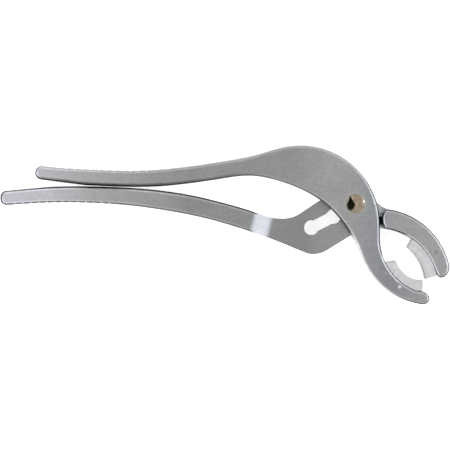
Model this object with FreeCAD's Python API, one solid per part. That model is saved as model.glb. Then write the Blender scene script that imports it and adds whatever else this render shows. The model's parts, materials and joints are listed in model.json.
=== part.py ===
import FreeCAD, Part
import math
import os

from FreeCAD import Rotation
from FreeCAD import Vector

# Slip-joint pliers with curved jaws and plastic jaw pads. Millimetres.
# The origin is on the pivot axis, in the rear face of the bolt's head. +X points to the jaws, +Y to the
# outer lever's handle and +Z from the rear of the tool to its front.

# ---------------------------------------------------------------- driving dimensions
HEAD_THICKNESS = 3.2            # pivot bolt's head
HEAD_DIAMETER = 16.0
WASHER_THICKNESS = 1.0
WASHER_DIAMETER = 15.0
FACE_GAP = 0.05                 # running gap between faces that slide on each other
PLATE_THICKNESS = 5.6           # each lever's plate in the lapped joint
HANDLE_THICKNESS = 9.4          # handles, and the jaws stay at the full lapped thickness

PIVOT_END_DIAMETER = 10.8       # staked end of the bolt, flush with the outer lever's front
SHANK_DIAMETER = 8.3            # part of the bolt that runs in the slot
SHANK_FLATS = 6.3               # across the flats
SLOT_HOLE_DIAMETER = 8.4
SLOT_NECK = 6.6
SLOT_PITCH = 14.0               # from one position of the slot to the next
SLOT_POSITIONS = 3
SLOT_ANGLE = 32.1               # slot's direction above +X
SLIP_RADIUS = 229.0             # the slot is an arc of this radius, so slipping also opens the handles

EDGE_ROUNDING = 1.9             # front and rear edges of both levers
GROOVE_PITCH = 4.4              # grip grooves across the handles' outer edges
GROOVE_RADIUS = 0.7
GROOVE_DEPTH = 0.2              # at the middle of the handle's side; deeper at its rounded corners
GROOVE_SWEEP_RADIUS = 15.0      # each groove is crowned: it runs round the side on an arc
GROOVE_SWEEP_ANGLE = 52.0
OUTER_GROOVES = (-166.0, -118.0)  # stretch of each handle that has grooves, along X
INNER_GROOVES = (-195.0, -135.0)

PIN_DIAMETER = 1.8
PAD_THICKNESS_Z = 10.6
TONGUE_THICKNESS = 4.0
OUTER_TONGUE_DEPTH = 5.0
INNER_TONGUE_DEPTH = 6.8

# ---------------------------------------------------------------- levels along Z
WASHER_REAR = HEAD_THICKNESS + FACE_GAP
REAR = WASHER_REAR + WASHER_THICKNESS + FACE_GAP        # rear face of both levers
INNER_FRONT = REAR + PLATE_THICKNESS                    # front of the slotted plate
OUTER_REAR = INNER_FRONT + 2 * FACE_GAP                 # rear of the outer lever's plate
FRONT = OUTER_REAR + PLATE_THICKNESS                    # front face of both levers
MIDDLE = (REAR + FRONT) / 2
HANDLE_REAR = MIDDLE - HANDLE_THICKNESS / 2
HANDLE_FRONT = MIDDLE + HANDLE_THICKNESS / 2

FAR = 130.0                     # past the tool's edge, for cutters
CLEAR = 1.0                     # how far a cutter runs past the face that it opens
TINY = 0.05                     # lengths below this count as none

SLOT_DIRECTION = (math.cos(math.radians(SLOT_ANGLE)), math.sin(math.radians(SLOT_ANGLE)))
SLIP_POLE = (-SLIP_RADIUS * SLOT_DIRECTION[1], SLIP_RADIUS * SLOT_DIRECTION[0])


# ---------------------------------------------------------------- drawing helpers
def at(point, z=0.0):
    return Vector(point[0], point[1], z)


def on_circle(centre, radius, angle):
    turn = math.radians(angle)
    return (centre[0] + radius * math.cos(turn), centre[1] + radius * math.sin(turn))


def heading(angle):
    """Unit vector that points at this angle from +X."""
    return (math.cos(math.radians(angle)), math.sin(math.radians(angle)))


def arc(centre, radius, start, end):
    """Arc from one angle to another, anticlockwise when end is the larger."""
    points = [on_circle(centre, radius, a) for a in (start, (start + end) / 2, end)]
    return Part.Arc(*[at(p) for p in points]).toShape()


def curve(points, start=None, end=None):
    """Smooth curve through the points, with the headings at its ends."""
    spline = Part.BSplineCurve()
    if start is None:
        spline.interpolate([at(p) for p in points])
    else:
        spline.interpolate(Points=[at(p) for p in points],
                           InitialTangent=at(heading(start)), FinalTangent=at(heading(end)))
    return spline.toShape()


def line(start, end):
    return Part.makeLine(at(start), at(end))


def prism(edges, z0, z1):
    """Solid between two levels with the closed outline that the edges make."""
    wire = Part.Wire(Part.__sortEdges__(edges))
    face = Part.Face(wire)
    face.translate(Vector(0, 0, z0))
    return face.extrude(Vector(0, 0, z1 - z0))


def largest(shape):
    """The piece itself, without the chips that a cut leaves."""
    return max(shape.Solids, key=lambda solid: solid.Volume)


def polygon(points, z0, z1):
    ring = list(points) + [points[0]]
    return prism([line(a, b) for a, b in zip(ring, ring[1:])], z0, z1)


def disc(centre, radius, z0, z1):
    return Part.makeCylinder(radius, z1 - z0, at(centre, z0))


def slope_cutter(span, levels, z_far, left=0.0, right=0.0):
    """Cutter from z_far to a smooth slope across the whole tool.

    The slope changes level over the span along X, and runs on level for left and right beyond its ends.
    """
    start, end = span
    z_start, z_end = levels
    ease = SLOPE_EASE * (end - start)
    slope = Part.BezierCurve()
    slope.setPoles([Vector(start, -FAR, z_start), Vector(start + ease, -FAR, z_start),
                    Vector(end - ease, -FAR, z_end), Vector(end, -FAR, z_end)])
    corners = [(end, z_end), (end + right, z_end), (end + right, z_far), (start - left, z_far),
               (start - left, z_start), (start, z_start)]
    corners = [Vector(x, -FAR, z) for x, z in corners]
    sides = [Part.makeLine(a, b) for a, b in zip(corners, corners[1:]) if a != b]
    return Part.Face(Part.Wire([slope.toShape()] + sides)).extrude(Vector(0, 2 * FAR, 0))


def round_edges(solid):
    """Round the front and rear edges of a lever, but not its upright edges or the seams of its slopes."""
    chosen = []
    for edge in solid.Edges:
        box = edge.BoundBox
        upright = box.XLength < TINY and box.YLength < TINY
        seam = box.XLength < TINY and box.XMin < JOINT_LEFT
        if not upright and not seam:
            chosen.append(edge)
    return solid.makeFillet(EDGE_ROUNDING, chosen)


# ---------------------------------------------------------------- outlines of the levers
HANDLE_END_RADIUS = 3.65                    # corners of both handles' ends
OUTER_END_CORNERS = [(-177.6, 17.5), (-177.52, 18.15)]
OUTER_END_ANGLES = (263, 172.5, 82)         # lower side, flat of the end, upper side
INNER_END_CORNERS = [(-197.3, 3.0), (-197.3, 3.95)]
INNER_END_ANGLES = (274, 180, 95)

HUMP_CENTRE = (-31.1, -11.6)
HUMP_RADIUS = 45.0
OUTER_JAW_CENTRE = (45.8, -19.1)            # concave, gripping side of the lower jaw
OUTER_JAW_RADIUS = OUTER_JAW_CENTRE[0] - (HUMP_CENTRE[0] + HUMP_RADIUS)
OUTER_BACK_CENTRE = (42.5, -15.2)           # convex back of the lower jaw
OUTER_BACK_RADIUS = 41.8

INNER_JAW_CENTRE = (12.2, -48.2)            # concave, gripping side of the upper jaw
INNER_JAW_RADIUS = 34.5
INNER_BACK_CENTRE = (13.2, -43.5)           # convex back of the upper jaw
INNER_BACK_RADIUS = 41.0
PLATE_END_RADIUS = 12.2                     # round end of the slotted plate, about the pivot
PLATE_LOWER_MARGIN = 13.8                   # slot axis to the slotted plate's lower edge


def along_slot(distance, offset):
    """Point at a distance along the slot from the pivot, and an offset to its upper left."""
    return (distance * SLOT_DIRECTION[0] - offset * SLOT_DIRECTION[1],
            distance * SLOT_DIRECTION[1] + offset * SLOT_DIRECTION[0])


def handle_end(corners, angles):
    """End of a handle, clockwise from its lower side: two corner arcs with a short flat between them."""
    low, high = corners
    lower, flat, upper = angles
    return [arc(low, HANDLE_END_RADIUS, lower, flat),
            line(on_circle(low, HANDLE_END_RADIUS, flat), on_circle(high, HANDLE_END_RADIUS, flat)),
            arc(high, HANDLE_END_RADIUS, flat, upper)]


def outer_outline():
    end = handle_end(OUTER_END_CORNERS, OUTER_END_ANGLES)
    handle_top = [on_circle(OUTER_END_CORNERS[1], HANDLE_END_RADIUS, OUTER_END_ANGLES[2]), (-150, 19.8),
                  (-126.4, 19.1), (-100, 20.8), (-75.4, 24.3), (-55, 28.3),
                  on_circle(HUMP_CENTRE, HUMP_RADIUS, 99)]
    hump_end = on_circle(HUMP_CENTRE, HUMP_RADIUS, 0)
    jaw_start = on_circle(OUTER_JAW_CENTRE, OUTER_JAW_RADIUS, 180)
    jaw_tip = [on_circle(OUTER_JAW_CENTRE, OUTER_JAW_RADIUS, 247), (37.4, -49.2), (40.7, -50.7),
               (42.1, -53.7), (40.5, -56.3), (36.9, -56.8),
               on_circle(OUTER_BACK_CENTRE, OUTER_BACK_RADIUS, 257)]
    handle_bottom = [on_circle(OUTER_BACK_CENTRE, OUTER_BACK_RADIUS, 199), (-5.7, -12.3), (-16.9, 0.1),
                     (-31.2, 8.6), (-44.8, 13.5), (-58.4, 16.0), (-75.3, 14.4), (-95.7, 11.5), (-128, 9.75),
                     (-150, 10.55), on_circle(OUTER_END_CORNERS[0], HANDLE_END_RADIUS, OUTER_END_ANGLES[0])]
    return [curve(handle_top, -8, 9),
            arc(HUMP_CENTRE, HUMP_RADIUS, 99, 0),
            line(hump_end, jaw_start),
            arc(OUTER_JAW_CENTRE, OUTER_JAW_RADIUS, 180, 247),
            curve(jaw_tip, -23, 167),
            arc(OUTER_BACK_CENTRE, OUTER_BACK_RADIUS, 257, 199),
            curve(handle_bottom, 109, 173)] + end


def inner_outline():
    line_start = along_slot(-15, PLATE_END_RADIUS)
    end = handle_end(INNER_END_CORNERS, INNER_END_ANGLES)
    handle_top = [on_circle(INNER_END_CORNERS[1], HANDLE_END_RADIUS, INNER_END_ANGLES[2]), (-174, 9.6),
                  (-150, 10.0), (-123, 8.85), (-106, 7.1), (-89, 4.2), (-72, 0.0), (-58.3, -4.1),
                  (-48.1, -7.5), (-41.3, -8.3), (-34.5, -7.2), (-27.7, -3.2), line_start]
    jaw_root = [on_circle((0, 0), PLATE_END_RADIUS, 14), (14.7, -0.7), (18.2, -2.7),
                on_circle(INNER_BACK_CENTRE, INNER_BACK_RADIUS, 77)]
    jaw_tip = [on_circle(INNER_BACK_CENTRE, INNER_BACK_RADIUS, 17), (53.4, -35.0), (52.6, -38.9),
               (50.2, -41.4), (47.3, -41.4), (45.7, -38.9),
               on_circle(INNER_JAW_CENTRE, INNER_JAW_RADIUS, 21.5)]
    lower_line = [along_slot(-10, -PLATE_LOWER_MARGIN), along_slot(-25.5, -PLATE_LOWER_MARGIN)]
    jaw_underside = [on_circle(INNER_JAW_CENTRE, INNER_JAW_RADIUS, 80), (13.6, -13.75), (6.5, -14.3),
                     lower_line[0]]
    plate_corner = [lower_line[1], (-18.6, -27.6), (-23.6, -28.5), (-31.1, -26.4)]
    handle_bottom = [plate_corner[-1], (-48.1, -19.5), (-65.1, -13.8), (-82.1, -8.8), (-99.1, -5.1),
                     (-123, -1.4), (-150.1, 0.6), (-172, 0.8),
                     on_circle(INNER_END_CORNERS[0], HANDLE_END_RADIUS, INNER_END_ANGLES[0])]
    return [curve(handle_top, 5, SLOT_ANGLE),
            line(line_start, along_slot(0, PLATE_END_RADIUS)),
            arc((0, 0), PLATE_END_RADIUS, SLOT_ANGLE + 90, 14),
            curve(jaw_root, -76, -13),
            arc(INNER_BACK_CENTRE, INNER_BACK_RADIUS, 77, 17),
            curve(jaw_tip, -73, 111.5),
            arc(INNER_JAW_CENTRE, INNER_JAW_RADIUS, 21.5, 80),
            curve(jaw_underside, 170, SLOT_ANGLE + 180),
            line(*lower_line),
            curve(plate_corner, SLOT_ANGLE + 180, 157),
            curve(handle_bottom, 157, 184)] + end


# ---------------------------------------------------------------- grip grooves
def groove(point, outward):
    """One crowned groove across the handle's side, from its front corner to its rear corner."""
    ring = Part.makeTorus(GROOVE_SWEEP_RADIUS, GROOVE_RADIUS, Vector(0, 0, 0), Vector(0, 0, 1),
                          -180, 180, GROOVE_SWEEP_ANGLE)
    ring.rotate(Vector(0, 0, 0), Vector(0, 0, 1), -GROOVE_SWEEP_ANGLE / 2)
    ring.rotate(Vector(0, 0, 0), Vector(1, 0, 0), 90)
    ring.rotate(Vector(0, 0, 0), Vector(0, 0, 1), math.degrees(math.atan2(outward.y, outward.x)))
    place = point - outward * (GROOVE_SWEEP_RADIUS + GROOVE_DEPTH - GROOVE_RADIUS)
    ring.translate(Vector(place.x, place.y, MIDDLE))
    return ring


def grooves(edge, x_start, x_end, side):
    """Grip grooves one pitch apart along a handle's outline.

    side is 1 where outward is to the left of +X, and -1 where it is to the right.
    """
    cutters = []
    count = int(edge.Length / GROOVE_PITCH)
    for point in edge.discretize(count + 1):
        if x_start < point.x < x_end:
            tangent = edge.tangentAt(edge.Curve.parameter(point))
            if tangent.x < 0:
                tangent = -tangent
            cutters.append(groove(point, Vector(-tangent.y, tangent.x, 0) * side))
    return Part.makeCompound(cutters)


# ---------------------------------------------------------------- keyhole slot in the inner lever
def slot_cutter():
    """Three holes on an arc about the slip pole, joined by a narrower neck."""
    to_pivot = SLOT_ANGLE - 90
    step = math.degrees(SLOT_PITCH / SLIP_RADIUS)
    z0, z1 = REAR - CLEAR, FRONT + CLEAR
    last = to_pivot - (SLOT_POSITIONS - 1) * step
    cutter = prism([arc(SLIP_POLE, SLIP_RADIUS + SLOT_NECK / 2, last, to_pivot),
                    line(on_circle(SLIP_POLE, SLIP_RADIUS + SLOT_NECK / 2, to_pivot),
                         on_circle(SLIP_POLE, SLIP_RADIUS - SLOT_NECK / 2, to_pivot)),
                    arc(SLIP_POLE, SLIP_RADIUS - SLOT_NECK / 2, to_pivot, last),
                    line(on_circle(SLIP_POLE, SLIP_RADIUS - SLOT_NECK / 2, last),
                         on_circle(SLIP_POLE, SLIP_RADIUS + SLOT_NECK / 2, last))], z0, z1)
    for index in range(SLOT_POSITIONS):
        hole = on_circle(SLIP_POLE, SLIP_RADIUS, to_pivot - index * step)
        cutter = cutter.fuse(disc(hole, SLOT_HOLE_DIAMETER / 2, z0, z1))
    return cutter


# ---------------------------------------------------------------- jaw pads, their tongues and pins
OUTER_PAD_ANGLES = (206, 249)               # about OUTER_JAW_CENTRE
OUTER_PAD_FACE_CENTRE = (37.8, -27.5)
OUTER_PAD_FACE_RADIUS = 15.8
OUTER_PAD_FACE_ANGLES = (197, 271)
OUTER_PAD_HEEL = (37.9, -48.9)              # corner that rests on the jaw's tip
INNER_PAD_ANGLES = (13, 54.5)               # about INNER_JAW_CENTRE
INNER_PAD_FACE_CENTRE = (13.5, -45.3)
INNER_PAD_FACE_RADIUS = 26.4
INNER_PAD_FACE_ANGLES = (6.5, 52.5)
TONGUE_INSET = 2.0                          # degrees from each end of the pad
TONGUE_OVERLAP = 0.5                        # tongue's root inside the pad
PIN_RECESS = 0.15

OUTER_PINS = {"near": on_circle(OUTER_JAW_CENTRE, OUTER_JAW_RADIUS + 2.8, 215),
              "far": on_circle(OUTER_JAW_CENTRE, OUTER_JAW_RADIUS + 2.8, 233)}
INNER_PINS = {"near": on_circle(INNER_JAW_CENTRE, INNER_JAW_RADIUS + 5.4, 47.5),
              "far": on_circle(INNER_JAW_CENTRE, INNER_JAW_RADIUS + 4.8, 32)}
PAD_REAR = MIDDLE - PAD_THICKNESS_Z / 2
PAD_FRONT = MIDDLE + PAD_THICKNESS_Z / 2


def tongue(centre, radius, depth, angles):
    """Rib on the pad's back, which fills a slot in the jaw."""
    start, end = angles[0] + TONGUE_INSET, angles[1] - TONGUE_INSET
    inner, outer = radius - TONGUE_OVERLAP, radius + depth
    edges = [arc(centre, outer, start, end),
             line(on_circle(centre, outer, end), on_circle(centre, inner, end)),
             arc(centre, inner, end, start),
             line(on_circle(centre, inner, start), on_circle(centre, outer, start))]
    return prism(edges, MIDDLE - TONGUE_THICKNESS / 2, MIDDLE + TONGUE_THICKNESS / 2)


def outer_tongue():
    return tongue(OUTER_JAW_CENTRE, OUTER_JAW_RADIUS, OUTER_TONGUE_DEPTH, OUTER_PAD_ANGLES)


def inner_tongue():
    return tongue(INNER_JAW_CENTRE, INNER_JAW_RADIUS, INNER_TONGUE_DEPTH, INNER_PAD_ANGLES)


def pin(place):
    return disc(place, PIN_DIAMETER / 2, REAR + PIN_RECESS, FRONT - PIN_RECESS)


def pin_holes(pins):
    z0, z1 = REAR - CLEAR, FRONT + CLEAR
    return Part.makeCompound([disc(place, PIN_DIAMETER / 2, z0, z1) for place in pins.values()])


def outer_pad_body():
    seat = [on_circle(OUTER_JAW_CENTRE, OUTER_JAW_RADIUS, a) for a in OUTER_PAD_ANGLES]
    face = [on_circle(OUTER_PAD_FACE_CENTRE, OUTER_PAD_FACE_RADIUS, a) for a in OUTER_PAD_FACE_ANGLES]
    edges = [arc(OUTER_JAW_CENTRE, OUTER_JAW_RADIUS, *OUTER_PAD_ANGLES), line(seat[1], OUTER_PAD_HEEL),
             line(OUTER_PAD_HEEL, face[1]), line(face[0], seat[0]),
             arc(OUTER_PAD_FACE_CENTRE, OUTER_PAD_FACE_RADIUS, *reversed(OUTER_PAD_FACE_ANGLES))]
    return prism(edges, PAD_REAR, PAD_FRONT)


def inner_pad_body():
    seat = [on_circle(INNER_JAW_CENTRE, INNER_JAW_RADIUS, a) for a in INNER_PAD_ANGLES]
    face = [on_circle(INNER_PAD_FACE_CENTRE, INNER_PAD_FACE_RADIUS, a) for a in INNER_PAD_FACE_ANGLES]
    edges = [arc(INNER_JAW_CENTRE, INNER_JAW_RADIUS, *INNER_PAD_ANGLES), line(seat[1], face[1]),
             line(face[0], seat[0]),
             arc(INNER_PAD_FACE_CENTRE, INNER_PAD_FACE_RADIUS, *reversed(INNER_PAD_FACE_ANGLES))]
    return prism(edges, PAD_REAR, PAD_FRONT)


# ---------------------------------------------------------------- pivot
END_CONE_HEIGHT = 1.4
END_ROUNDING = 0.15             # staked end's rim
HEAD_ROUNDING = 1.0
STAKE_MARK = [(-2.9, 4.3), (-0.1, -0.3), (-1.3, -2.7), (-4.1, -2.8), (-5.0, -0.6)]
STAKE_MARK_DEPTH = 1.1


def bolt_end(grow=0.0):
    """Round end of the bolt, which flares out into a countersink in the outer lever's front."""
    shank = disc((0, 0), SHANK_DIAMETER / 2, OUTER_REAR - FACE_GAP, FRONT + grow)
    flare = Part.makeCone(SHANK_DIAMETER / 2, PIVOT_END_DIAMETER / 2, END_CONE_HEIGHT,
                          Vector(0, 0, FRONT - END_CONE_HEIGHT))
    return shank.fuse(flare)


def rim(solid, radius, level):
    """Round the edges of a round piece that lie at one level."""
    edges = [e for e in solid.Edges if abs(e.BoundBox.ZMin - level) < TINY and e.BoundBox.ZLength < TINY]
    return solid.makeFillet(radius, edges)


def pivot_bolt():
    head = disc((0, 0), HEAD_DIAMETER / 2, 0, HEAD_THICKNESS)
    head = rim(head, HEAD_ROUNDING, 0)
    shank = disc((0, 0), SHANK_DIAMETER / 2, HEAD_THICKNESS / 2, OUTER_REAR)
    flats = Part.makeBox(2 * SHANK_DIAMETER, SHANK_FLATS, FRONT,
                         Vector(-SHANK_DIAMETER, -SHANK_FLATS / 2, 0))
    flats.rotate(Vector(0, 0, 0), Vector(0, 0, 1), SLOT_ANGLE)
    bolt = head.fuse(shank.common(flats)).fuse(rim(bolt_end().removeSplitter(), END_ROUNDING, FRONT))
    mark = polygon(STAKE_MARK, FRONT - STAKE_MARK_DEPTH, FRONT + CLEAR)
    return bolt.cut(mark).removeSplitter()


def pivot_washer():
    z0, z1 = WASHER_REAR, WASHER_REAR + WASHER_THICKNESS
    ring = disc((0, 0), WASHER_DIAMETER / 2, z0, z1)
    return ring.cut(disc((0, 0), SLOT_HOLE_DIAMETER / 2, z0 - CLEAR, z1 + CLEAR))


# ---------------------------------------------------------------- levers
SLOPE_EASE = 0.2                            # share of a slope's length over which it eases in, and out
JOINT_LEFT = -20.0                          # the handles' slopes all end to the left of this
HANDLE_SLOPE = (-82.0, -52.0)               # where a handle thickens to the joint, on its outer face
OUTER_REAR_SLOPE = (-40.0, -20.0)
INNER_FRONT_SLOPE = (-35.0, -15.0)
LAP_SLOPE_LENGTH = 13.4                     # slope from a handle down to its lapped plate
CUTTER_DEPTH = 6.0                          # from a lever's face to the far side of what cuts it
OUTER_LAP_X = -46.0                         # middle of the outer lever's slope
INNER_LAP_MIDDLE = (-52.9, -10.6)
INNER_LAP_TURN = -14.0
OUTER_JAW_BLOCK = [(11.4, -19.5), (FAR, -19.5), (FAR, -60.0), (-2.4, -60.0)]    # full thickness again
SHOULDER_CENTRE = (23.7, -8.6)              # round end of the upper jaw's thick part
SHOULDER_RADIUS = 8.3
SHOULDER_ROUNDING = 1.3
RELIEF_CENTRE = (16.6, -8.8)                # pocket beside the shoulder, for the other lever's edge
RELIEF_RADIUS = 4.0
RELIEF_DEPTH = 3.4


def thin_handle(body, front_slope, rear_slope):
    """Take both faces of a lever down to the handle's thickness, left of the slopes."""
    front = slope_cutter(front_slope, (HANDLE_FRONT, FRONT), FRONT + CUTTER_DEPTH, left=2 * FAR)
    rear = slope_cutter(rear_slope, (HANDLE_REAR, REAR), REAR - CUTTER_DEPTH, left=2 * FAR)
    return body.cut(front).cut(rear)


def outer_lap():
    """What the outer lever gives up at its rear, for the slotted plate."""
    span = (OUTER_LAP_X - LAP_SLOPE_LENGTH / 2, OUTER_LAP_X + LAP_SLOPE_LENGTH / 2)
    lap = slope_cutter(span, (HANDLE_REAR, OUTER_REAR), REAR - CUTTER_DEPTH, right=2 * FAR)
    return lap.cut(polygon(OUTER_JAW_BLOCK, REAR - CUTTER_DEPTH - CLEAR, OUTER_REAR + CLEAR))


def shoulder():
    """Thick part of the upper jaw: everything right of a round end with a rounded rim."""
    z0 = INNER_FRONT - CLEAR
    z1 = FRONT + CUTTER_DEPTH + CLEAR
    end = rim(disc(SHOULDER_CENTRE, SHOULDER_RADIUS, z0, FRONT), SHOULDER_ROUNDING, FRONT)
    core = disc(SHOULDER_CENTRE, SHOULDER_RADIUS - SHOULDER_ROUNDING, z0, z1)
    block = Part.makeBox(FAR, 2 * FAR, z1 - z0, Vector(SHOULDER_CENTRE[0], -FAR, z0))
    return end.fuse(core).fuse(block)


def inner_lap():
    """What the inner lever gives up at its front, for the outer lever."""
    half = LAP_SLOPE_LENGTH / 2
    lap = slope_cutter((-half, half), (HANDLE_FRONT, INNER_FRONT), FRONT + CUTTER_DEPTH, right=FAR)
    lap.Placement = FreeCAD.Placement(at(INNER_LAP_MIDDLE), Rotation(Vector(0, 0, 1), INNER_LAP_TURN))
    relief = disc(RELIEF_CENTRE, RELIEF_RADIUS, INNER_FRONT - RELIEF_DEPTH, FRONT + CLEAR)
    relief = relief.cut(disc(SHOULDER_CENTRE, SHOULDER_RADIUS, REAR, FRONT + 2 * CLEAR))
    return lap.cut(shoulder()).fuse(relief)


def outer_lever():
    outline = outer_outline()
    body = round_edges(thin_handle(prism(outline, REAR, FRONT), HANDLE_SLOPE, OUTER_REAR_SLOPE))
    body = body.cut(outer_lap()).cut(bolt_end(CLEAR))
    handle_top = outline[0]
    body = largest(body.cut(grooves(handle_top, *OUTER_GROOVES, 1)))
    return body.cut(outer_tongue()).cut(pin_holes(OUTER_PINS))


def inner_lever():
    outline = inner_outline()
    body = round_edges(thin_handle(prism(outline, REAR, FRONT), INNER_FRONT_SLOPE, HANDLE_SLOPE))
    body = body.cut(inner_lap()).cut(slot_cutter())
    handle_bottom = outline[10]
    body = largest(body.cut(grooves(handle_bottom, *INNER_GROOVES, -1)))
    return body.cut(inner_tongue()).cut(pin_holes(INNER_PINS))


# ---------------------------------------------------------------- all the pieces
def pieces():
    found = {
        "outer_lever": outer_lever(),
        "inner_lever": inner_lever(),
        "pivot_bolt": pivot_bolt(),
        "pivot_washer": pivot_washer(),
    }
    for end, place in OUTER_PINS.items():
        found["outer_pad_pin_" + end] = pin(place)
    for end, place in INNER_PINS.items():
        found["inner_pad_pin_" + end] = pin(place)
    outer_pad = outer_pad_body().cut(found["outer_lever"])
    inner_pad = inner_pad_body().cut(found["inner_lever"])
    found["outer_jaw_pad"] = outer_pad.fuse(outer_tongue()).cut(pin_holes(OUTER_PINS))
    found["inner_jaw_pad"] = inner_pad.fuse(inner_tongue()).cut(pin_holes(INNER_PINS))
    return found


os.makedirs("parts", exist_ok=True)
for name, shape in pieces().items():
    largest(shape).exportStep("parts/" + name + ".step")
    print(name, len(shape.Solids), shape.isValid(), round(shape.Volume, 1))
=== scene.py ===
import json
import math

import bpy
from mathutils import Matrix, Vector


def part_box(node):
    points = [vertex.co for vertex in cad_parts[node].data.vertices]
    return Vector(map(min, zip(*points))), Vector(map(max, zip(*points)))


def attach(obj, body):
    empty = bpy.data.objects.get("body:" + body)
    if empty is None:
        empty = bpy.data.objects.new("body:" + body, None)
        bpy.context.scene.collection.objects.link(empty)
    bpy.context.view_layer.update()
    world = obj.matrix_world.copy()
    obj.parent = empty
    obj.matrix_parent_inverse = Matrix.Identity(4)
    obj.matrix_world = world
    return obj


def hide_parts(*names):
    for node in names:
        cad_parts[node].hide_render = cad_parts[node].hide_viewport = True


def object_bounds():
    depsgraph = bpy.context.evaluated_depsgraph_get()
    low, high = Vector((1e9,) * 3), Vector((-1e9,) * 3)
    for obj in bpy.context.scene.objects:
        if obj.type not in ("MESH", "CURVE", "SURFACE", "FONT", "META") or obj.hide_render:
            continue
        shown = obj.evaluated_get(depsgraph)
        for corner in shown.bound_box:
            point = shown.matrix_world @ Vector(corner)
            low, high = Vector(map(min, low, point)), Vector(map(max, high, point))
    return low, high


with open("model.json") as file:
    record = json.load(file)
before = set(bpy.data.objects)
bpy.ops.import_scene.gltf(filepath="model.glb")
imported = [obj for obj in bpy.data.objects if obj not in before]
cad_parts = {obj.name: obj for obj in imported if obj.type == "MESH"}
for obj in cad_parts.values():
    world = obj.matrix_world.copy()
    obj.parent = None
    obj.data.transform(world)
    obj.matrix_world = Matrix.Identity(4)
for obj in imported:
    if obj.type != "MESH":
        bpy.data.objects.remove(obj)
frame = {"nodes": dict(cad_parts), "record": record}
CAD_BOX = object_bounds()

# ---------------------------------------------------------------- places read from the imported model
MM = 0.001
LOW, HIGH = CAD_BOX
LENGTH = HIGH[0] - LOW[0]
LEVER_LOW, LEVER_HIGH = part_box("outer_lever")
FRONT_Z = LEVER_HIGH.z
MIDDLE_Z = (LEVER_LOW.z + FRONT_Z) / 2

scene = bpy.context.scene
scene.view_settings.view_transform = "Standard"


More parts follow.
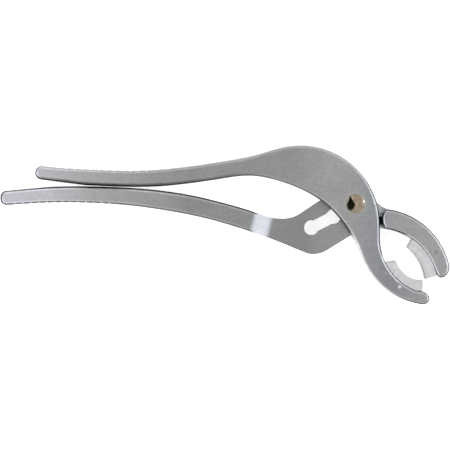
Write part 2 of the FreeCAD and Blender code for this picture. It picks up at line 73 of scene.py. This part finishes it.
# ---------------------------------------------------------------- node helpers
class Nodes:
    """A material's node tree, with short ways to add and join nodes."""

    def __init__(self, name):
        self.material = bpy.data.materials.new(name)
        self.material.use_nodes = True
        self.tree = self.material.node_tree
        self.shader = self.tree.nodes["Principled BSDF"]
        self.position = self.add("ShaderNodeTexCoord").outputs["Object"]

    def add(self, kind, **settings):
        node = self.tree.nodes.new(kind)
        for key, value in settings.items():
            setattr(node, key, value)
        return node

    def link(self, source, target):
        self.tree.links.new(source, target)

    def noise(self, scale, detail=3.0, roughness=0.5, vector=None):
        node = self.add("ShaderNodeTexNoise")
        node.inputs["Scale"].default_value = scale
        node.inputs["Detail"].default_value = detail
        node.inputs["Roughness"].default_value = roughness
        self.link(vector or self.position, node.inputs["Vector"])
        return node.outputs["Fac"]

    def stretched(self, scale, turn=0.0):
        node = self.add("ShaderNodeMapping")
        node.inputs["Scale"].default_value = scale
        node.inputs["Rotation"].default_value = (0, 0, turn)
        self.link(self.position, node.inputs["Vector"])
        return node.outputs["Vector"]

    def split(self, vector):
        """X, Y and Z of a vector, as three outputs."""
        node = self.add("ShaderNodeSeparateXYZ")
        self.link(vector, node.inputs["Vector"])
        return node.outputs

    def maths(self, operation, first, second=None):
        node = self.add("ShaderNodeMath", operation=operation)
        for value, socket in zip((first, second), node.inputs):
            if isinstance(value, (int, float)):
                socket.default_value = value
            elif value is not None:
                self.link(value, socket)
        return node.outputs["Value"]

    def distance(self, x, y, place, height=1.0):
        """Distance in the tool's plane from a place.

        Rings of equal distance are height times as tall as they are wide.
        """
        dx = self.maths("SUBTRACT", x, place[0])
        dy = self.maths("DIVIDE", self.maths("SUBTRACT", y, place[1]), height)
        squares = self.maths("ADD", self.maths("MULTIPLY", dx, dx), self.maths("MULTIPLY", dy, dy))
        return self.maths("SQRT", squares)

    def ramp(self, factor, stops):
        node = self.add("ShaderNodeValToRGB")
        node.color_ramp.elements[0].position = stops[0][0]
        node.color_ramp.elements[0].color = (*stops[0][1], 1)
        node.color_ramp.elements[1].position = stops[-1][0]
        node.color_ramp.elements[1].color = (*stops[-1][1], 1)
        for place, colour in stops[1:-1]:
            node.color_ramp.elements.new(place).color = (*colour, 1)
        self.link(factor, node.inputs["Fac"])
        return node.outputs["Color"]

    def scaled(self, factor, low, high, start=0.0, end=1.0):
        """Straight map from start..end to low..high, held at its ends."""
        node = self.add("ShaderNodeMapRange")
        node.inputs["From Min"].default_value = start
        node.inputs["From Max"].default_value = end
        node.inputs["To Min"].default_value = low
        node.inputs["To Max"].default_value = high
        self.link(factor, node.inputs["Value"])
        return node.outputs["Result"]

    def rising(self, value, start, end):
        """Mask that goes from 0 at start to 1 at end."""
        return self.scaled(value, 0.0, 1.0, start, end)

    def falling(self, value, start, end):
        """Mask that goes from 1 at start to 0 at end."""
        return self.scaled(value, 1.0, 0.0, start, end)

    def near(self, value, centre, reach):
        """Mask that is 1 within reach[0] of the centre, and 0 beyond reach[1]."""
        away = self.maths("ABSOLUTE", self.maths("SUBTRACT", value, centre))
        return self.falling(away, *reach)

    def both(self, first, second):
        """Mask for where two masks overlap."""
        return self.maths("MULTIPLY", first, second)

    def mixed(self, factor, first, second, blend="MIX"):
        """Two colours mixed. The factor may be a number, and the second may be a fixed colour."""
        node = self.add("ShaderNodeMix", data_type="RGBA", blend_type=blend)
        if isinstance(factor, float):
            node.inputs["Factor"].default_value = factor
        else:
            self.link(factor, node.inputs["Factor"])
        self.link(first, node.inputs[6])
        if isinstance(second, tuple):
            node.inputs[7].default_value = (*second, 1)
        else:
            self.link(second, node.inputs[7])
        return node.outputs[2]

    def bump(self, height, distance, strength=1.0, normal=None):
        node = self.add("ShaderNodeBump")
        node.inputs["Distance"].default_value = distance
        node.inputs["Strength"].default_value = strength
        self.link(height, node.inputs["Height"])
        if normal:
            self.link(normal, node.inputs["Normal"])
        return node.outputs["Normal"]

    def varied(self, colour, pattern, low, high, start=0.28, end=0.72):
        """Colour made darker and lighter by a pattern."""
        shades = self.ramp(pattern, [(start, grey(low)), (end, grey(high))])
        return self.mixed(1.0, colour, shades, "MULTIPLY")

    def softened_edges(self, radius):
        node = self.add("ShaderNodeBevel", samples=4)
        node.inputs["Radius"].default_value = radius
        return node.outputs["Normal"]

    def set(self, **values):
        for key, value in values.items():
            self.shader.inputs[key.replace("_", " ")].default_value = value

    def into(self, source, name):
        self.link(source, self.shader.inputs[name])


def grey(value):
    return (value, value, value)


# ---------------------------------------------------------------- steel of the levers
# Colour of the ground faces at places along X, in millimetres: the steel's grey with painted light and
# shade, lighter towards the handle ends and on the inner lever's web at 12 to 15 mm.
OUTER_GREY_AND_PAINTED_LIGHT = [(-180, (0.335, 0.335, 0.353)), (-150, (0.257, 0.257, 0.260)), (-105, (0.196, 0.196, 0.195)),
               (-60, (0.192, 0.192, 0.189)), (-38, (0.190, 0.190, 0.189)), (-14, (0.229, 0.229, 0.225)),
               (0, (0.219, 0.219, 0.218)), (10, (0.188, 0.191, 0.201)), (20, (0.180, 0.181, 0.190)),
               (40, (0.222, 0.222, 0.225))]
INNER_GREY_AND_PAINTED_LIGHT = [(-200, (0.360, 0.358, 0.385)), (-178, (0.358, 0.355, 0.378)), (-150, (0.255, 0.254, 0.256)),
               (-125, (0.227, 0.227, 0.227)), (-88, (0.174, 0.174, 0.174)), (-60, (0.186, 0.187, 0.188)),
               (-30, (0.168, 0.168, 0.168)), (-8, (0.200, 0.200, 0.201)), (12, (0.300, 0.302, 0.315)),
               (14.8, (0.300, 0.302, 0.315)), (16.5, (0.218, 0.218, 0.221)), (45, (0.232, 0.232, 0.234))]
# Painted shade on the upper handle's underside, which faces the lower handle. It is blackest where the
# handles meet.
UNDERSIDE_PAINTED_SHADE = [(-180, grey(0.11)), (-160, grey(0.050)), (-148, grey(0.022)), (-136, grey(0.022)),
                   (-122, (0.045, 0.045, 0.039)), (-95, (0.075, 0.075, 0.066)),
                   (-72, (0.100, 0.100, 0.091)), (-52, grey(0.170)), (-20, grey(0.175))]
UNDERSIDE_FADE = (-25 * MM, -5 * MM)
UNDERSIDE_COVER = 0.9
MEETING_X = -143 * MM                         # where the lower handle's upper side gets black painted shade too
MEETING_REACH = (7 * MM, 18 * MM)
MEETING_PAINTED_SHADE = grey(0.022)
UPRIGHT = (0.78, 0.90)                        # the normal's Z where a side turns into a ground face
LOOKS_UP = (0.35, 0.65)                       # the normal's Y on sides that face +Y
LOOKS_DOWN = (-0.10, -0.34)                   # and on those that face -Y
OUTER_GRAIN = 0.0                             # direction of the brushing, in degrees from X
INNER_GRAIN = 8.0
HALO = (5.3 * MM, 7.4 * MM)                   # lighter grey-green ring round the staked bolt
HALO_STRENGTH = 0.55
HALO_TINT = (0.258, 0.260, 0.236)
SIDE_SKIN_AND_SHADE = grey(0.075)                       # skin of the forging, darkened further as painted shade for the dark outline
TOP_SIDE_PAINTED_LIGHT = grey(0.32)                         # but the upper handle's top side is lighter: painted light
SLOPE_X = -53 * MM                            # slope down to the slotted plate, lightened by a painted highlight
SLOPE_REACH = (9 * MM, 10 * MM)
SLOPE_PAINTED_HIGHLIGHT = (1.15, 1.16, 1.19)              # how much lighter the painted highlight makes the slope
SEAT_PAINTED_LIGHT = grey(0.42)                        # painted light on the sides round the pads, inside a circle
SEATS_CENTRE = (31.0 * MM, -34.5 * MM)
SEATS_REACH = (16.5 * MM, 18.0 * MM)
NECK_PAINTED_LIGHT = grey(0.45)                        # painted light on the left side of the outer lever's neck and jaw
NECK_FADE = (-3.0 * MM, -0.5 * MM)
HANDLE_END = -160 * MM                        # left of this, the lower handle's -X sides are darker: painted shade
END_PAINTED_SHADE = grey(0.030)
HEEL_X = 16.5 * MM                            # rear end of the inner jaw, which faces the neck; it gets a painted highlight
HEEL_REACH = (2.5 * MM, 4.0 * MM)
HEEL_PAINTED_HIGHLIGHT = (0.31, 0.32, 0.36)
POCKET_Z = MIDDLE_Z - 0.5 * MM                # front-facing steel below this is the floor of a pocket, which gets painted shade
POCKET_SHADE_CENTRE = (14.2 * MM, -9.4 * MM)
POCKET_SHADE_REACH = (2.2 * MM, 3.0 * MM)
POCKET_PAINTED_SHADE = (0.004, 0.004, 0.007)


def along(m, x, zones):
    """Colour that changes from zone to zone along X."""
    return m.ramp(m.scaled(x, 0.0, 1.0, LOW[0], HIGH[0]),
                  [((place * MM - LOW[0]) / LENGTH, tint) for place, tint in zones])


def ground_face(m, x, zones, grain):
    """Ground and plated face: zones of grey with painted light and shade along X, faint clouds, fine
    mottle and brushed streaks.
    """
    colour = along(m, x, zones)
    colour = m.varied(colour, m.noise(70.0, 3.0, 0.55), 0.94, 1.06, 0.25, 0.75)
    colour = m.varied(colour, m.noise(800.0, 3.0, 0.7), 0.88, 1.12)
    streaks = m.noise(50.0, 3.0, 0.65, m.stretched((1.0, 14.0, 14.0), math.radians(grain)))
    return m.varied(colour, streaks, 0.965, 1.035)


def sides(m, x, y, facing, outer):
    """Sides of a lever: the forging's dark skin with painted shade, and painted light round the pads and,
    on the outer lever, on the upper handle's top side and the neck's left side.
    """
    side = m.rising(m.distance(x, y, SEATS_CENTRE), *SEATS_REACH)
    side = m.ramp(side, [(0.0, SEAT_PAINTED_LIGHT), (1.0, SIDE_SKIN_AND_SHADE)])
    if outer:
        side = m.mixed(m.rising(facing["Y"], *LOOKS_UP), side, TOP_SIDE_PAINTED_LIGHT)
        neck_light = m.both(m.rising(facing["X"], -0.25, -0.50), m.rising(x, *NECK_FADE))
        side = m.mixed(neck_light, side, NECK_PAINTED_LIGHT)
    return side


def outer_underside_painted_shade(m, x, facing, colour):
    """Painted shade on the upper handle's underside, which faces the lower handle."""
    underside_shade = m.scaled(facing["Y"], 0.0, UNDERSIDE_COVER, *LOOKS_DOWN)
    underside_shade = m.both(underside_shade, m.falling(x, *UNDERSIDE_FADE))
    return m.mixed(underside_shade, colour, along(m, x, UNDERSIDE_PAINTED_SHADE))


def inner_painted_light_and_shade(m, x, facing, colour):
    """Painted light and shade that the inner lever alone has: a painted highlight on its slope, painted
    shade where the handles meet and on the handle end's -X sides, and a painted highlight on the jaw's
    heel.
    """
    slope_highlight = m.both(m.near(x, SLOPE_X, SLOPE_REACH), m.falling(facing["Z"], 0.955, 0.985))
    slope_highlight = m.both(slope_highlight, m.falling(m.maths("ABSOLUTE", facing["Y"]), 0.17, 0.25))
    colour = m.mixed(slope_highlight, colour, SLOPE_PAINTED_HIGHLIGHT, "MULTIPLY")
    meeting_shade = m.both(m.near(x, MEETING_X, MEETING_REACH), m.rising(facing["Y"], 0.15, 0.5))
    colour = m.mixed(meeting_shade, colour, MEETING_PAINTED_SHADE)
    handle_end_shade = m.both(m.rising(facing["X"], -0.20, -0.50), m.falling(x, HANDLE_END - MM, HANDLE_END))
    colour = m.mixed(handle_end_shade, colour, END_PAINTED_SHADE)
    heel_highlight = m.both(m.near(x, HEEL_X, HEEL_REACH), m.rising(facing["X"], -0.15, -0.40))
    return m.mixed(heel_highlight, colour, HEEL_PAINTED_HIGHLIGHT)


def pocket_painted_shade(m, x, y, z, facing):
    """Mask for the painted shade on the floor of the pocket behind the jaw."""
    floor_below = m.both(m.rising(facing["Z"], 0.4, 0.6), m.falling(z, POCKET_Z - 0.2 * MM, POCKET_Z))
    return m.both(floor_below, m.falling(m.distance(x, y, POCKET_SHADE_CENTRE), *POCKET_SHADE_REACH))


def forged_steel(name, zones, grain, outer):
    """Steel of one lever: ground and plated faces, with the skin of the forging left on the sides, and
    painted light and shade on both.
    """
    m = Nodes(name)
    m.set(Metallic=1.0)
    x, y, z = m.split(m.position)
    facing = m.split(m.add("ShaderNodeNewGeometry").outputs["Normal"])
    colour = ground_face(m, x, zones, grain)
    if outer:
        halo = m.scaled(m.distance(x, y, (0, 0)), HALO_STRENGTH, 0.0, *HALO)
        colour = m.mixed(halo, colour, HALO_TINT)
    # Sides darker than the faces: forging skin with painted shade.
    upright = m.falling(m.maths("ABSOLUTE", facing["Z"]), *UPRIGHT)
    colour = m.mixed(upright, colour, sides(m, x, y, facing, outer))
    if outer:
        colour = outer_underside_painted_shade(m, x, facing, colour)
    else:
        colour = inner_painted_light_and_shade(m, x, facing, colour)
    # Painted shade on the pocket's floor behind the jaw.
    m.into(m.mixed(pocket_painted_shade(m, x, y, z, facing), colour, POCKET_PAINTED_SHADE), "Base Color")

    m.into(m.scaled(m.noise(1100.0, 3.0, 0.6), 0.30, 0.44), "Roughness")
    wear = m.bump(m.noise(300.0, 3.0, 0.5), 0.00006, 0.5, m.softened_edges(0.3 * MM))
    brushed = m.noise(150.0, 3.0, 0.6, m.stretched((1.0, 12.0, 12.0), math.radians(grain)))
    brushed = m.bump(brushed, 0.00003, 0.25, wear)
    m.into(m.bump(m.noise(2400.0, 2.0, 0.6), 0.000015, 0.7, brushed), "Normal")
    return m.material


# ---------------------------------------------------------------- bolt, washer, pins and pads
MARK_DEPTHS = (0.25 * MM, 2.0 * MM)           # the staked mark lies between these, below the bolt's front
MARK_SHADE_CENTRE = (-2.9 * MM, -1.9 * MM)           # painted shade spreads out of the mark on this side
MARK_SHADE_REACH = (1.6 * MM, 2.1 * MM)
GLINT_PLACE = (4.7 * MM, 1.5 * MM)                   # painted glint on the staked rim, taller than wide
GLINT_REACH = (0.2 * MM, 0.5 * MM)
GLINT_HEIGHT = 2.3
GLINT_COLOUR = (0.80, 0.79, 0.77)
MARK_PAINTED_SHADE = (0.006, 0.007, 0.004)


def bolt_steel():
    """Bronze-toned plate. The staked mark in the bolt's end is filled with painted shade, which spreads
    out of it on one side; a painted glint sits on the rim.
    """
    m = Nodes("bolt_steel")
    m.set(Metallic=1.0)
    tan = m.ramp(m.noise(560.0, 4.0, 0.65), [(0.3, (0.140, 0.111, 0.079)), (0.5, (0.215, 0.176, 0.129)),
                                             (0.72, (0.300, 0.252, 0.190))])
    bands = m.noise(500.0, 2.0, 0.5, m.stretched((2.0, 0.35, 1.0)))
    tan = m.mixed(m.scaled(bands, 0.0, 0.6, 0.42, 0.68), tan, (0.132, 0.107, 0.081))
    x, y, z = m.split(m.position)
    # Painted glint on the rim.
    glint = m.falling(m.distance(x, y, GLINT_PLACE, GLINT_HEIGHT), *GLINT_REACH)
    tan = m.mixed(glint, tan, GLINT_COLOUR)
    top, bottom = FRONT_Z - MARK_DEPTHS[0], FRONT_Z - MARK_DEPTHS[1]
    # Painted shade in the staked mark and beside it.
    in_mark = m.both(m.falling(z, top - 0.2 * MM, top), m.rising(z, bottom - 0.5 * MM, bottom))
    shade_spread = m.scaled(m.distance(x, y, MARK_SHADE_CENTRE), 0.9, 0.0, *MARK_SHADE_REACH)
    m.into(m.mixed(m.maths("MAXIMUM", in_mark, shade_spread), tan, MARK_PAINTED_SHADE), "Base Color")
    m.into(m.scaled(m.noise(900.0), 0.36, 0.5), "Roughness")
    m.into(m.bump(m.noise(700.0, 3.0), 0.00008, 0.6, m.softened_edges(0.1 * MM)), "Normal")
    return m.material


def zinc():
    """Zinc plate of the washer."""
    m = Nodes("washer_zinc")
    m.set(Metallic=1.0)
    m.into(m.ramp(m.noise(200.0), [(0.3, grey(0.30)), (0.7, (0.40, 0.40, 0.385))]), "Base Color")
    m.into(m.scaled(m.noise(800.0), 0.35, 0.5), "Roughness")
    m.into(m.bump(m.noise(1500.0), 0.00001, 0.5, m.softened_edges(0.15 * MM)), "Normal")
    return m.material


def pin_steel(name, dark, light):
    """Pin's end, ground flush with the jaw."""
    m = Nodes(name)
    m.set(Metallic=1.0)
    m.into(m.ramp(m.noise(1400.0), [(0.3, grey(dark)), (0.7, grey(light))]), "Base Color")
    m.into(m.scaled(m.noise(1500.0), 0.28, 0.42), "Roughness")
    m.into(m.bump(m.noise(2200.0), 0.00001, 0.5), "Normal")
    return m.material


def nylon():
    """Natural nylon, milky and a little see-through."""
    m = Nodes("pad_nylon")
    cloud = m.noise(330.0, 4.0, 0.65)
    m.into(m.ramp(cloud, [(0.3, (0.265, 0.266, 0.263)), (0.7, (0.37, 0.37, 0.366))]), "Base Color")
    m.into(m.scaled(m.noise(700.0), 0.36, 0.52), "Roughness")
    m.into(m.bump(m.noise(420.0, 4.0, 0.6), 0.00008, 0.5), "Normal")
    m.set(Subsurface_Weight=0.15, Subsurface_Radius=(0.003, 0.003, 0.0028))
    m.set(Transmission_Weight=0.2, IOR=1.53)
    return m.material


MATERIALS = {
    "forged_steel": forged_steel("forged_steel", INNER_GREY_AND_PAINTED_LIGHT, INNER_GRAIN, False),
    "bolt_steel": bolt_steel(),
    "washer_zinc": zinc(),
    "pin_steel": pin_steel("pin_steel", 0.19, 0.26),
    "pad_nylon": nylon(),
}
OWN_MATERIAL = {
    "outer_lever": forged_steel("forged_steel_upper_handle", OUTER_GREY_AND_PAINTED_LIGHT, OUTER_GRAIN, True),
    # The far pins use lighter and darker copies of the pin steel: a painted highlight on the outer one,
    # painted shade on the inner one.
    "outer_pad_pin_far": pin_steel("pin_steel_painted_highlight", 0.43, 0.54),
    "inner_pad_pin_far": pin_steel("pin_steel_painted_shade", 0.13, 0.20),
}
for part in frame["record"]["subparts"]:
    node = frame["nodes"][part["node"]]
    node.data.materials.clear()
    node.data.materials.append(OWN_MATERIAL.get(part["node"], MATERIALS[part["material_slot"]]))


# ---------------------------------------------------------------- moulded jaw pads
PAD_VOXEL = 0.22 * MM
PAD_SMOOTHING = 4
PAD_SWELL = 0.18 * MM                         # fills the seat again after the smoothing
DIMPLE_PLACE = Vector((21.5, -38.0)) * MM     # left by the mould in the outer pad's front
DIMPLE_RADIUS = 0.9 * MM
DIMPLE_DEPTH = 0.5 * MM


def press_dimple(mesh, place, radius, depth):
    """Push a round dimple into the front of a pad."""
    front = max(v.co.z for v in mesh.vertices)
    for v in mesh.vertices:
        away = (v.co.xy - place).length / radius
        if away < 1 and v.co.z > front - depth:
            v.co.z -= depth * (1 - away * away)


def moulded_pad(name, node, body):
    """Pad with the soft edges of a moulding, over the space of its CAD solid."""
    source = frame["nodes"][node]
    pad = bpy.data.objects.new(name, source.data.copy())
    scene.collection.objects.link(pad)
    remesh = pad.modifiers.new("remesh", "REMESH")
    remesh.mode = "VOXEL"
    remesh.voxel_size = PAD_VOXEL
    remesh.use_smooth_shade = True
    smooth = pad.modifiers.new("smooth", "SMOOTH")
    smooth.factor = 0.5
    smooth.iterations = PAD_SMOOTHING
    swell = pad.modifiers.new("swell", "DISPLACE")
    swell.strength = PAD_SWELL
    swell.mid_level = 0.0
    bpy.context.view_layer.update()
    evaluated = pad.evaluated_get(bpy.context.evaluated_depsgraph_get())
    mesh = bpy.data.meshes.new_from_object(evaluated)
    pad.modifiers.clear()
    pad.data = mesh
    mesh.materials.clear()
    mesh.materials.append(MATERIALS["pad_nylon"])
    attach(pad, body)
    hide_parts(node)
    return pad


outer_pad = moulded_pad("outer_pad_moulding", "outer_jaw_pad", "outer")
press_dimple(outer_pad.data, DIMPLE_PLACE, DIMPLE_RADIUS, DIMPLE_DEPTH)
moulded_pad("inner_pad_moulding", "inner_jaw_pad", "inner")

# ---------------------------------------------------------------- camera
VIEW_WIDTH = LENGTH * 1.004                   # the tool nearly fills the picture's width
PICTURE_CENTRE = Vector((LOW[0] + LENGTH * 0.5003, (HIGH[1] + LOW[1]) / 2 - 0.15 * MM))
LENS = 150.0
SENSOR = 36.0

camera_data = bpy.data.cameras.new("camera")
camera_data.lens = LENS
camera_data.sensor_width = SENSOR
camera = bpy.data.objects.new("camera", camera_data)
camera.location = (PICTURE_CENTRE.x, PICTURE_CENTRE.y, MIDDLE_Z + VIEW_WIDTH * LENS / SENSOR)
scene.collection.objects.link(camera)
scene.camera = camera

# ---------------------------------------------------------------- floor, light
SKY_COLOUR = 1.3
HORIZON_COLOUR = 1.0
FLOOR_GLOW = 0.50                             # the floor is a light table, so that shadows stay faint
FLOOR_SIDE = 3.0
SOFTBOXES = [                                 # name, azimuth, elevation, distance, size, radiance, colour
    ("right", 5, 32, 1.6, (2.0, 0.95), 5.0, (0.90, 0.93, 1.0)),
    ("left", 200, 42, 1.6, (1.4, 0.9), 3.0, (0.93, 0.93, 1.0)),
    ("back", 90, 50, 1.6, (1.6, 0.6), 2.2, (1.0, 1.0, 1.0)),
    ("front", 270, 38, 1.6, (1.6, 0.5), 2.2, (1.0, 1.0, 1.0)),
]

floor_mesh = bpy.data.meshes.new("floor")
corners = [(-1, -1), (1, -1), (1, 1), (-1, 1)]
floor_mesh.from_pydata([(x * FLOOR_SIDE, y * FLOOR_SIDE, 0) for x, y in corners], [], [(0, 1, 2, 3)])
floor = bpy.data.objects.new("floor", floor_mesh)
floor.location.z = LOW[2] - 0.2 * MM
scene.collection.objects.link(floor)
pale = Nodes("floor_pale")
pale.set(Roughness=0.9, Emission_Color=(1, 1, 1, 1), Emission_Strength=FLOOR_GLOW)
pale.into(pale.ramp(pale.noise(3.0), [(0.3, grey(0.88)), (0.7, grey(0.9))]), "Base Color")
floor_mesh.materials.append(pale.material)

world = bpy.data.worlds.new("studio")
scene.world = world
world.use_nodes = True
sky = world.node_tree
height = sky.nodes.new("ShaderNodeSeparateXYZ")
fade = sky.nodes.new("ShaderNodeValToRGB")
fade.color_ramp.elements[0].color = (*grey(HORIZON_COLOUR), 1)
fade.color_ramp.elements[1].color = (*grey(SKY_COLOUR), 1)
coordinate = sky.nodes.new("ShaderNodeTexCoord")
sky.links.new(coordinate.outputs["Generated"], height.inputs["Vector"])
sky.links.new(height.outputs["Z"], fade.inputs["Fac"])
sky.links.new(fade.outputs["Color"], sky.nodes["Background"].inputs["Color"])


def softbox(name, azimuth, elevation, distance, size, radiance, colour):
    """Rectangular lamp that faces the tool. radiance is how bright it looks beside the sky's 1."""
    light = bpy.data.lights.new(name, "AREA")
    light.shape = "RECTANGLE"
    light.size, light.size_y = size
    light.energy = radiance * size[0] * size[1] * math.pi
    light.color = colour
    lamp = bpy.data.objects.new(name, light)
    around, up = math.radians(azimuth), math.radians(elevation)
    away = Vector((math.cos(around) * math.cos(up), math.sin(around) * math.cos(up), math.sin(up)))
    lamp.location = Vector((PICTURE_CENTRE.x, PICTURE_CENTRE.y, 0)) + away * distance
    lamp.rotation_euler = away.to_track_quat("Z", "Y").to_euler()
    lamp.visible_camera = False
    scene.collection.objects.link(lamp)


for lamp in SOFTBOXES:
    softbox(*lamp)
